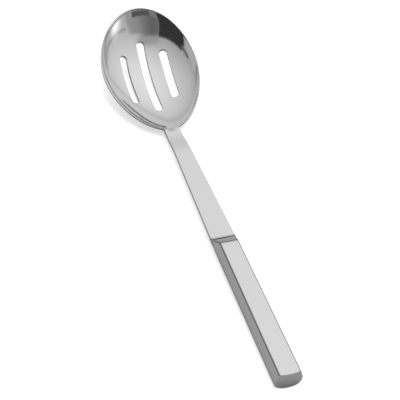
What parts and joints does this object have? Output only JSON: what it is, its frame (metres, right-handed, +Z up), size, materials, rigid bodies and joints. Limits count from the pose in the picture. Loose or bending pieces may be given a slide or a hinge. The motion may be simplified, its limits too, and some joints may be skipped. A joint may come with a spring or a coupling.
{
  "type": "slotted serving spoon",
  "caption": "Stainless steel serving spoon: an oval bowl pierced by lengthwise draining slots, a flat tapering shank and a hollow flat-topped handle, lying with its bowl upwards",
  "frame": {"origin": "middle of the spoon's outline, on the surface that it lies on", "axes": "+Y runs from the handle to the tip of the bowl, +X is across the spoon, +Z is up out of the bowl"},
  "size_m": [0.0642, 0.299, 0.0381],
  "materials": {
    "polished_steel": "mirror polished",
    "handle_steel": "fine brushed and buffed",
    "end_plate_steel": "buffed"
  },
  "bodies": {
    "root": {"bowl_and_shank": "polished_steel", "handle_top_shell": "handle_steel", "handle_bottom_shell": "handle_steel", "handle_end_plate": "end_plate_steel"}
  },
  "joints": []
}
